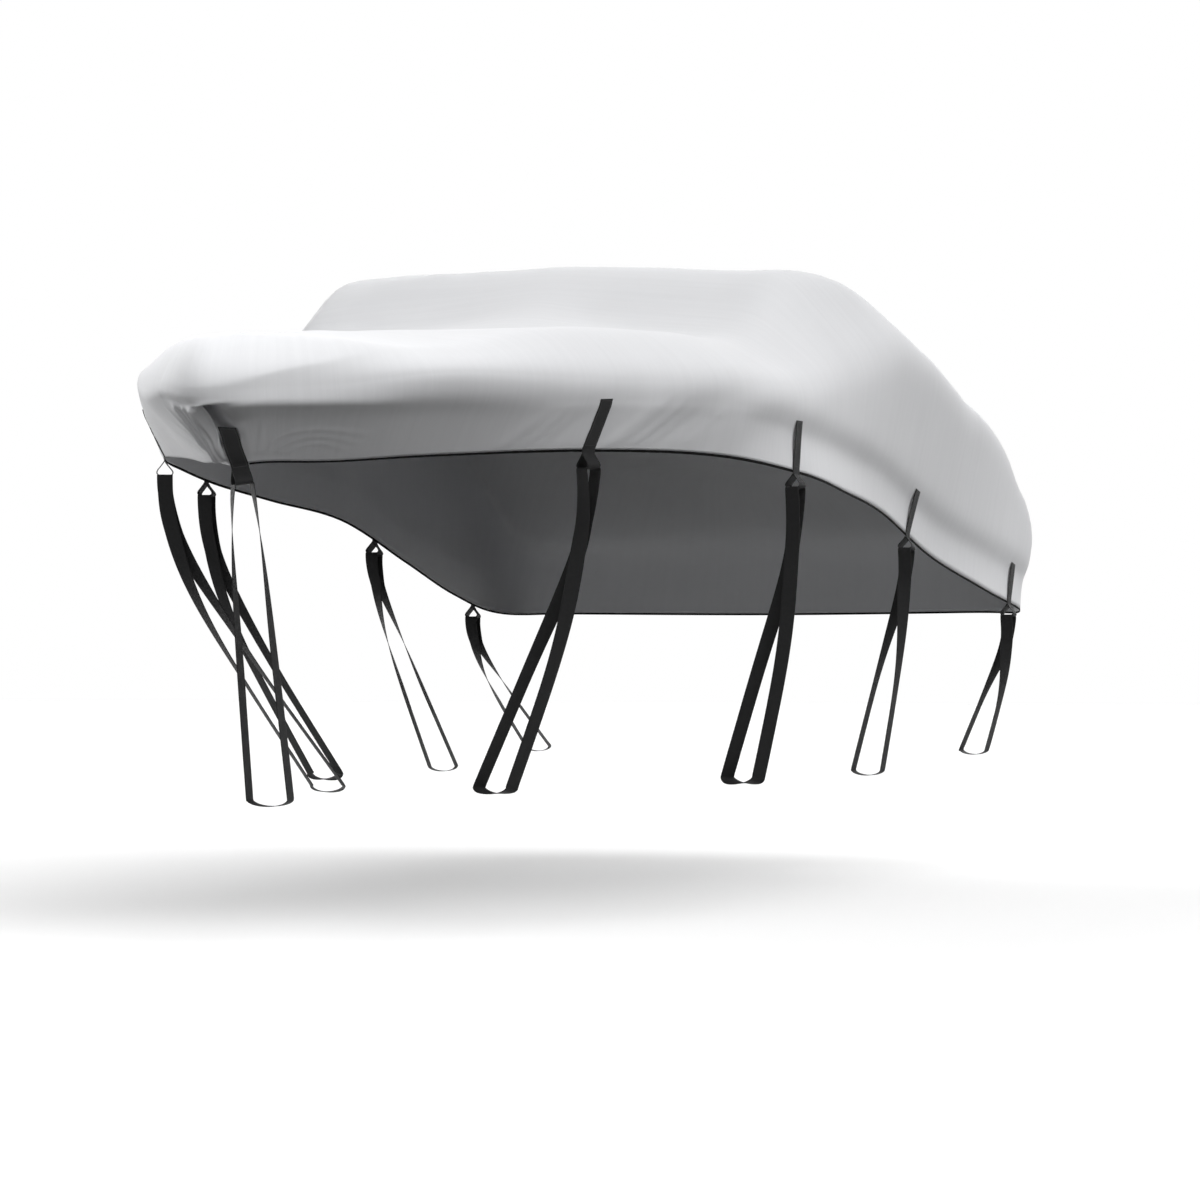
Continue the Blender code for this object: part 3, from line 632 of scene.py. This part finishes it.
def round_nose(port, starboard):
    """Rounds the stem's crease from the shoulder up, so that the cloth runs smoothly over the nose."""
    line = np.concatenate([starboard.grid[NOSE_RIBS:0:-1], port.grid[: NOSE_RIBS + 1]])
    away = abs(np.arange(-NOSE_RIBS, NOSE_RIBS + 1))[:, None]
    heights = port.heights[None, :]
    share = (
        smoothed((heights - NOSE_LOW) / NOSE_LOW_MARGIN)
        * smoothed((NOSE_HIGH - heights) / NOSE_HIGH_MARGIN)
        * smoothed((NOSE_RIBS - NOSE_RIM - away) / NOSE_RIBS)
    )
    for _ in range(NOSE_PASSES):
        middle = (line[:-2] + line[2:]) / 2
        line[1:-1] += share[1:-1, :, None] * (middle - line[1:-1])
    line[NOSE_RIBS] *= (1, 0, 1)
    port.grid[: NOSE_RIBS + 1] = line[NOSE_RIBS:]
    starboard.grid[: NOSE_RIBS + 1] = line[NOSE_RIBS::-1]


def tab_span(rib):
    """The two ribs that run along the edges of a tab centred on this one."""
    step = 0.02
    here, there = rib_points(rib - step, [0])[0], rib_points(rib + step, [0])[0]
    half = 0.5 * (TAB_WIDTH + TAB_MARGIN) * (2 * step) / np.linalg.norm(there - here)
    return max(rib - half, 0.0), rib + half


def hem_frame(grid, i):
    """At rib i of a grid: the hem point, the way down the cloth past it, and the way out of it."""
    here = grid[i][0]
    down = unit(grid[i][0] - grid[i][2])
    before, after = grid[max(i - 1, 0)][0], grid[min(i + 1, len(grid) - 1)][0]
    out = unit(np.cross(after - before, down))
    if out[:2] @ (here[:2] - grid[i][-1][:2] * (1, 0)) < 0:
        out = -out
    level = unit(out * (1, 1, 0))
    down = unit(down - max(down @ level, 0) * level)
    return here, down, unit(out - (out @ down) * down)


def tab_frame(side, rib):
    """The middle of a tab's hem and its frame there: along the hem, out and down."""
    a, b = (side.at(edge, 0.0) for edge in tab_span(rib))
    along = unit(b - a)
    down = unit(np.array([0, 0, -1.0]) + along[2] * along)
    out = unit(np.cross(along, down))
    if out[1] * np.sign(b[1]) < 0:
        out = -out
    return (a + b) / 2, along, out, down


def all_ties(context):
    """Each tie-down as (name, side's cloth, -1 to starboard or 1 to port, its row)."""
    port, starboard = cloth_sides(context.scene.boatcover_cloth.folds)
    for row in TIES:
        tie = dict(zip(TIE_COLUMNS, row))
        yield tie["name"], port, 1, tie
        if tie["name"] != "bow":
            yield tie["name"].replace("port", "starboard"), starboard, -1, tie


def put(name, data):
    """A new object in the scene."""
    made = bpy.data.objects.new(name, data)
    bpy.context.scene.collection.objects.link(made)
    return made


def put_mesh(name, bm, finish):
    """A new object made of a bmesh, with its material."""
    mesh = bpy.data.meshes.new(name)
    bm.to_mesh(mesh)
    bm.free()
    mesh.materials.append(finish)
    return put(name, mesh)


def keep(name, bm, finish, replaces):
    """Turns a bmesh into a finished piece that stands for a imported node."""
    for face in bm.faces:
        face.smooth = True
    piece = put_mesh(name, bm, finish)
    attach(piece, "root")
    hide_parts(replaces)
    return piece


def place_grid(points, uvs, uv_name):
    """A bmesh grid whose vertices are moved to a grid of points, with a UV map in metres."""
    steps, rises = points.shape[0] - 1, points.shape[1] - 1
    bm = bmesh.new()
    bmesh.ops.create_grid(bm, x_segments=steps, y_segments=rises, size=0.5)
    index = {
        vert: (round((vert.co.x + 0.5) * steps), round((vert.co.y + 0.5) * rises))
        for vert in bm.verts
    }
    layer = bm.loops.layers.uv.new(uv_name)
    for face in bm.faces:
        for loop in face.loops:
            loop[layer].uv = uvs[index[loop.vert]]
    for vert, place in index.items():
        vert.co = points[place]
    return bm


def webbing_band(line, widths, width, closed, across=8):
    """A flat band along a line. Its UV map runs along and across in metres."""
    if closed:
        line, widths = np.vstack([line, line[:1]]), np.vstack([widths, widths[:1]])
    spread = np.linspace(-0.5, 0.5, across + 1) * width
    points = line[:, None] + widths[:, None] * spread[None, :, None]
    uvs = np.stack(np.meshgrid(run_along(line), spread, indexing="ij"), axis=2)
    bm = place_grid(points, uvs, "webbing")
    if closed:
        bmesh.ops.remove_doubles(bm, verts=bm.verts, dist=1e-6)
    bmesh.ops.recalc_face_normals(bm, faces=bm.faces)
    return bm


def thicken(piece, thickness, offset):
    wall = piece.modifiers.new("wall", "SOLIDIFY")
    wall.thickness = thickness
    wall.offset = offset
    wall.use_even_offset = False


def round_edges(piece, thickness):
    """Gives a band its thickness and rounded edges."""
    thicken(piece, thickness, 0)
    bevel = piece.modifiers.new("edges", "BEVEL")
    bevel.width = thickness * 0.3
    bevel.segments = 2
    bevel.limit_method = "ANGLE"
    bevel.angle_limit = math.radians(50)


class BOATCOVER_OT_cloth(bpy.types.Operator):
    """Sews the cloth: one sheet over bow, hump and stern, with its folds"""

    bl_idname = "boatcover.cloth"
    bl_label = "Cloth"

    def execute(self, context):
        settings = context.scene.boatcover_cloth
        port, starboard = cloth_sides(settings.folds)
        points = np.concatenate([port.grid, starboard.grid[:, -2::-1]], axis=1)
        up = np.concatenate([port.down, -starboard.down[:, -2::-1]], axis=1)
        along = np.repeat(port.along[:, None], up.shape[1], axis=1)
        uvs = np.stack([along, up], axis=2)
        bm = place_grid(points, uvs, "cloth")
        bmesh.ops.remove_doubles(bm, verts=bm.verts, dist=1e-5)
        bmesh.ops.recalc_face_normals(bm, faces=bm.faces)
        highest = max(bm.faces, key=lambda face: face.calc_center_median().z)
        if highest.normal.z < 0:
            bmesh.ops.reverse_faces(bm, faces=bm.faces)
        for edge in bm.edges:
            edge.smooth = not all(
                abs(vert.co.y) < 1e-5 and vert.co.x > SHARP_AHEAD and vert.co.z < SHARP_BELOW
                for vert in edge.verts)
        area = sum(face.calc_area() for face in bm.faces)
        cover = keep("cover_sheet", bm, cloth_finish(settings), "cover")
        thicken(cover, settings.thickness, -1)
        return {"FINISHED"}


class BOATCOVER_OT_shadow_strip(bpy.types.Operator):
    """Lays a narrow black strip of painted shadow along the hem, from the bow tab round the stern to
    starboard: it stands for the shade between the hem and the hull
    """

    bl_idname = "boatcover.edging"
    bl_label = "Painted shadow"

    def execute(self, context):
        port, starboard = cloth_sides(context.scene.boatcover_cloth.folds)
        _, bow_rib, *_ = TIES[0]
        first = int(np.searchsorted(port.ribs, tab_span(bow_rib)[1]))
        last = int(np.searchsorted(port.ribs, SHADOW_STRIP_END))
        stern = len(port.ribs) - 1
        rows = [(port.grid, i) for i in range(first, stern)]
        rows += [(starboard.grid, i) for i in range(stern, last - 1, -1)]
        points = np.array([self.ring(grid, i, i == stern) for grid, i in rows])
        around = np.linspace(0, 0.02, SHADOW_STRIP_SIDES + 1)
        uvs = np.stack(np.meshgrid(run_along(points[:, 0]), around, indexing="ij"), axis=2)
        bm = place_grid(points, uvs, "webbing")
        bmesh.ops.remove_doubles(bm, verts=bm.verts, dist=1e-6)
        bmesh.ops.holes_fill(bm, edges=bm.edges, sides=SHADOW_STRIP_SIDES)
        bmesh.ops.recalc_face_normals(bm, faces=bm.faces)
        # Near black and almost without shine, since the strip is painted shadow between the hem and the
        # hull. It takes the place of the imported hem_edging node.
        colour = context.scene.boatcover_webbing.shadow_strip_colour
        finish = webbing_finish("hem_shadow_paint", colour, specular=0.02)
        keep("shadow_strip", bm, finish, "hem_edging")
        return {"FINISHED"}

    def ring(self, grid, i, at_stern):
        """The painted shadow strip's outline at one rib, a rounded box below the hem."""
        here, down, out = hem_frame(grid, i)
        if at_stern:
            down = unit(down * (1, 0, 1))
            out = np.array([-1.0, 0, 0])
            out = unit(out - (out @ down) * down)
        points = []
        for k in range(SHADOW_STRIP_SIDES + 1):
            turn = 2 * math.pi * k / SHADOW_STRIP_SIDES
            low, wide = (
                abs(part) ** SHADOW_STRIP_SQUARE * math.copysign(1, part)
                for part in (math.cos(turn), math.sin(turn)))
            sunk = down * (HEM_GAP + HEM_DEPTH / 2 * (1 + low))
            points.append(here + sunk - out * SHADOW_STRIP_THICKNESS / 2 * (1 - wide))
        return points


class BOATCOVER_OT_tabs(bpy.types.Operator):
    """Sews on the webbing tabs, each with the triangular loop below the hem"""

    bl_idname = "boatcover.tabs"
    bl_label = "Tabs"

    def execute(self, context):
        settings = context.scene.boatcover_webbing
        finish = webbing_finish("tab_webbing", settings.colour, stitched=True)
        for name, side, _, tie in all_ties(context):
            points, widths = self.line(side, tie["rib"])
            bm = webbing_band(points, widths, TAB_WIDTH, False)
            piece = keep("webbing_tab_" + name, bm, finish, "tab_" + name)
            round_edges(piece, settings.thickness)
        return {"FINISHED"}

    def line(self, side, rib):
        """The tab's line and the directions of its width: down the cloth and round the loop."""
        middle, along, out, down = tab_frame(side, rib)
        low, high = tab_span(rib)
        lift = TAB_GAP + WEBBING / 2
        heights = np.linspace(0.004, 0.45, 300)
        run = run_along(np.array([side.at(rib, height) for height in heights]))
        picked = np.interp(np.linspace(0.002, TAB_LENGTH, 26), run, heights)
        step = 0.01
        points, widths = [], []
        for height in picked[::-1]:
            a, b = side.at(low, height), side.at(high, height)
            above, below = side.at(rib, height + step), side.at(rib, max(height - step, 0))
            normal = unit(np.cross(unit(b - a), unit(below - above)))
            normal = normal if normal @ out > 0 else -normal
            points.append((a + b) / 2 + normal * lift)
            widths.append(unit(b - a))
        points = self.pulled_taut(np.array(points), out)
        # Out from the cloth and down: past the hem, round the loop's base and back up behind.
        loop = cut_corners([
            (lift + 0.0004, LOOP_TOP - 0.006), (lift + 0.0004, LOOP_TOP),
            (LOOP_BASE / 2 + 0.001, LOOP_BOTTOM), (0.001 - LOOP_BASE / 2, LOOP_BOTTOM),
            (-0.0012, LOOP_TOP + 0.004), (-0.0010, LOOP_TOP - 0.001),
        ], False, 3)
        points = np.vstack([points, [middle + out * o + down * d for o, d in loop]])
        return points, np.array(widths + [along] * len(loop))

    def pulled_taut(self, points, out):
        """The same line, lifted outwards where it would dip into a hollow of the cloth."""
        run = run_along(points)
        height = (points - points[0]) @ out
        taut = height.copy()
        for i in range(len(points)):
            for k in range(i + 2, len(points)):
                bridge = np.interp(run[i : k + 1], run[[i, k]], height[[i, k]])
                taut[i : k + 1] = np.maximum(taut[i : k + 1], bridge)
        return points + out * (taut - height)[:, None]


class BOATCOVER_OT_straps(bpy.types.Operator):
    """Hangs the closed tie-down straps in the tabs' loops"""

    bl_idname = "boatcover.straps"
    bl_label = "Tie-down straps"

    def execute(self, context):
        settings = context.scene.boatcover_webbing
        finish = webbing_finish("strap_webbing", settings.colour)
        for name, side, hand, tie in all_ties(context):
            points, widths = (cut_corners(line, True, 2) for line in self.line(side, hand, tie))
            travel = unit(np.roll(points, -1, axis=0) - np.roll(points, 1, axis=0))
            widths = unit(widths - (widths * travel).sum(1, keepdims=True) * travel)
            bm = webbing_band(points, widths, STRAP_WIDTH, True)
            piece = keep("tie_strap_" + name, bm, finish, "strap_" + name)
            round_edges(piece, settings.thickness)
        return {"FINISHED"}

    def line(self, side, hand, tie):
        """The strap's closed line and its width's directions, over the loop's base, down and back."""
        middle, along, out, down = tab_frame(side, tie["rib"])
        forward = -along if along[0] < 0 or tie["name"] == "bow" else along
        base = middle + down * (LOOP_BOTTOM - WEBBING - STRAP_GAP) + out * 0.001
        foot = np.array(
            [ORIGIN_AFT - tie["foot_aft"], hand * tie["foot_out"], tie["foot_up"] - ORIGIN_UP])
        leg = TAB_WIDTH / 2 + STRAP_GAP + WEBBING / 2
        ring = list(self.legs(base + down * 0.01, foot, forward, out, leg, hand, tie))
        lead = forward * leg
        over = [(base + lead * n + down * d, out) for n, d in STRAP_TOP]
        foot_centre, reach, width = ring[-1]
        under = [
            (foot_centre + reach * math.cos(a) - np.array([0, 0, SAG]) * math.sin(a), width)
            for a in np.pi * np.arange(1, 16) / 16
        ]
        back = [(base - lead * n + down * d, out) for n, d in STRAP_TOP[:2:-1]]
        round_foot = [(c + o, w) for c, o, w in ring] + under + [(c - o, w) for c, o, w in ring[::-1]]
        points, widths = (np.array(part) for part in zip(*(over + round_foot + back)))
        # Neighbouring widths point the same way, so that the band never flips over.
        for k in range(1, len(widths)):
            if widths[k] @ widths[k - 1] < 0:
                widths[k] = -widths[k]
        return points, widths

    def legs(self, top, foot, forward, out, leg, hand, tie):
        """From top to foot: the middle between the legs, the way from it to one, and the width."""
        start = math.atan2(forward[1], forward[0])
        turn = math.radians(tie["turn"]) * hand - start
        skew = math.radians(tie["skew"]) * hand
        quarter = math.pi / 2 if math.sin(math.atan2(out[1], out[0]) - start) > 0 else -math.pi / 2
        knee = top - np.array([0, 0, tie["hang"]])
        after = knee + 0.3 * (foot - knee)
        for s in np.arange(1, STRAP_STEPS + 1) / STRAP_STEPS:
            ease = smoothed(s / TURNED_AT)
            angle = start + turn * ease
            half = np.interp(s, [0, NECK_AT, 1], [leg, tie["neck"], tie["foot_half"]])
            centre = (
                (1 - s) ** 3 * top + 3 * s * (1 - s) ** 2 * knee
                + 3 * s**2 * (1 - s) * after + s**3 * foot)
            lean = angle + quarter + skew * ease
            yield (centre, np.array([math.cos(angle), math.sin(angle), 0]) * half,
                   np.array([math.cos(lean), math.sin(lean), 0]))


class BOATCOVER_OT_stage(bpy.types.Operator):
    """Sets the floor, the soft light and the camera"""

    bl_idname = "boatcover.stage"
    bl_label = "Stage"

    def execute(self, context):
        settings = context.scene.boatcover_stage
        self.floor(settings)
        for row in LIGHTS:
            self.light(settings, *row)
        for row in BOXES:
            self.softbox(settings, *row)
        self.sky(context, settings)
        self.camera(context)
        return {"FINISHED"}

    def floor(self, settings):
        """A wide pale floor that takes shadows and throws no light back."""
        bm = bmesh.new()
        bmesh.ops.create_grid(bm, x_segments=1, y_segments=1, size=FLOOR_HALF)
        bmesh.ops.translate(bm, vec=(0, 0, -ORIGIN_UP), verts=bm.verts)
        floor = put_mesh("floor", bm, finish_with("floor_paint", settings.floor_colour, 0.9))
        floor.visible_diffuse = floor.visible_shadow = False

    def light(self, settings, name, turn, above, strength):
        data = bpy.data.lights.new(name, "SUN")
        data.angle = settings.spread
        data.energy = math.pi * strength * settings.strength
        self.hang(data, way_to(math.radians(turn), math.radians(above)) * 10, Vector())

    def softbox(self, settings, name, place, aim, size, power):
        data = bpy.data.lights.new(name, "AREA")
        data.shape, data.size, data.energy = "SQUARE", size, power * settings.strength
        self.hang(data, Vector(place), Vector(aim)).visible_camera = False

    def hang(self, data, place, aim):
        lamp = put(data.name, data)
        lamp.location = place
        lamp.rotation_euler = (aim - place).to_track_quat("-Z", "Y").to_euler()
        return lamp

    def sky(self, context, settings):
        """White to the camera, and a faint light from above the horizon."""
        world = bpy.data.worlds.new("studio")
        world.use_nodes = True
        tree = world.node_tree
        way = Wire(tree).node("ShaderNodeTexCoord", {}, {}, out="Generated")
        height = Wire(tree).node("ShaderNodeSeparateXYZ", {}, {0: way}, out="Z")
        seen = Wire(tree).node("ShaderNodeLightPath", {}, {}, out="Is Camera Ray")
        glow = height.math("GREATER_THAN", 0.0) * settings.ambient
        tree.links.new(seen.math("MAXIMUM", glow).socket, tree.nodes["Background"].inputs["Strength"])
        tree.nodes["Background"].inputs["Color"].default_value = (1, 1, 1, 1)
        context.scene.world = world
        context.scene.view_settings.view_transform = "Standard"

    def camera(self, context):
        data = bpy.data.cameras.new("camera")
        data.lens, data.sensor_width = CAMERA_LENS, CAMERA_SENSOR
        camera = put("camera", data)
        camera.location = CAMERA_PLACE
        facing = -way_to(CAMERA_TURN, -CAMERA_RISE)
        camera.rotation_euler = facing.to_track_quat("-Z", "Y").to_euler()
        context.scene.camera = camera


class BOATCOVER_PT_panel(bpy.types.Panel):
    """Lists the cover's pieces and their settings"""

    bl_idname = "BOATCOVER_PT_panel"
    bl_label = "Boat cover"
    bl_space_type = "VIEW_3D"
    bl_region_type = "UI"
    bl_category = "Boat cover"

    def draw(self, context):
        for group, (_, operators) in GROUPS.items():
            box = self.layout.box()
            settings = getattr(context.scene, group)
            for name in settings.bl_rna.properties.keys():
                if name not in ("rna_type", "name"):
                    box.prop(settings, name)
            for operator in operators:
                box.operator(operator.bl_idname)


# The groups of settings, each with the operators that use it first.
GROUPS = {
    "boatcover_cloth": (CoverCloth, (BOATCOVER_OT_cloth,)),
    "boatcover_webbing": (CoverWebbing, (BOATCOVER_OT_shadow_strip, BOATCOVER_OT_tabs, BOATCOVER_OT_straps)),
    "boatcover_stage": (CoverStage, (BOATCOVER_OT_stage,)),
}
CLASSES = [made for group, operators in GROUPS.values() for made in (group, *operators)]
CLASSES.append(BOATCOVER_PT_panel)


def register():
    for made in CLASSES:
        bpy.utils.register_class(made)
    for name, (group, _) in GROUPS.items():
        setattr(bpy.types.Scene, name, PointerProperty(type=group))


def unregister():
    for name in GROUPS:
        delattr(bpy.types.Scene, name)
    for made in reversed(CLASSES):
        bpy.utils.unregister_class(made)


def main():
    register()
    bpy.ops.boatcover.cloth()
    bpy.ops.boatcover.edging()
    bpy.ops.boatcover.tabs()
    bpy.ops.boatcover.straps()
    bpy.ops.boatcover.stage()


if __name__ == "__main__":
    main()
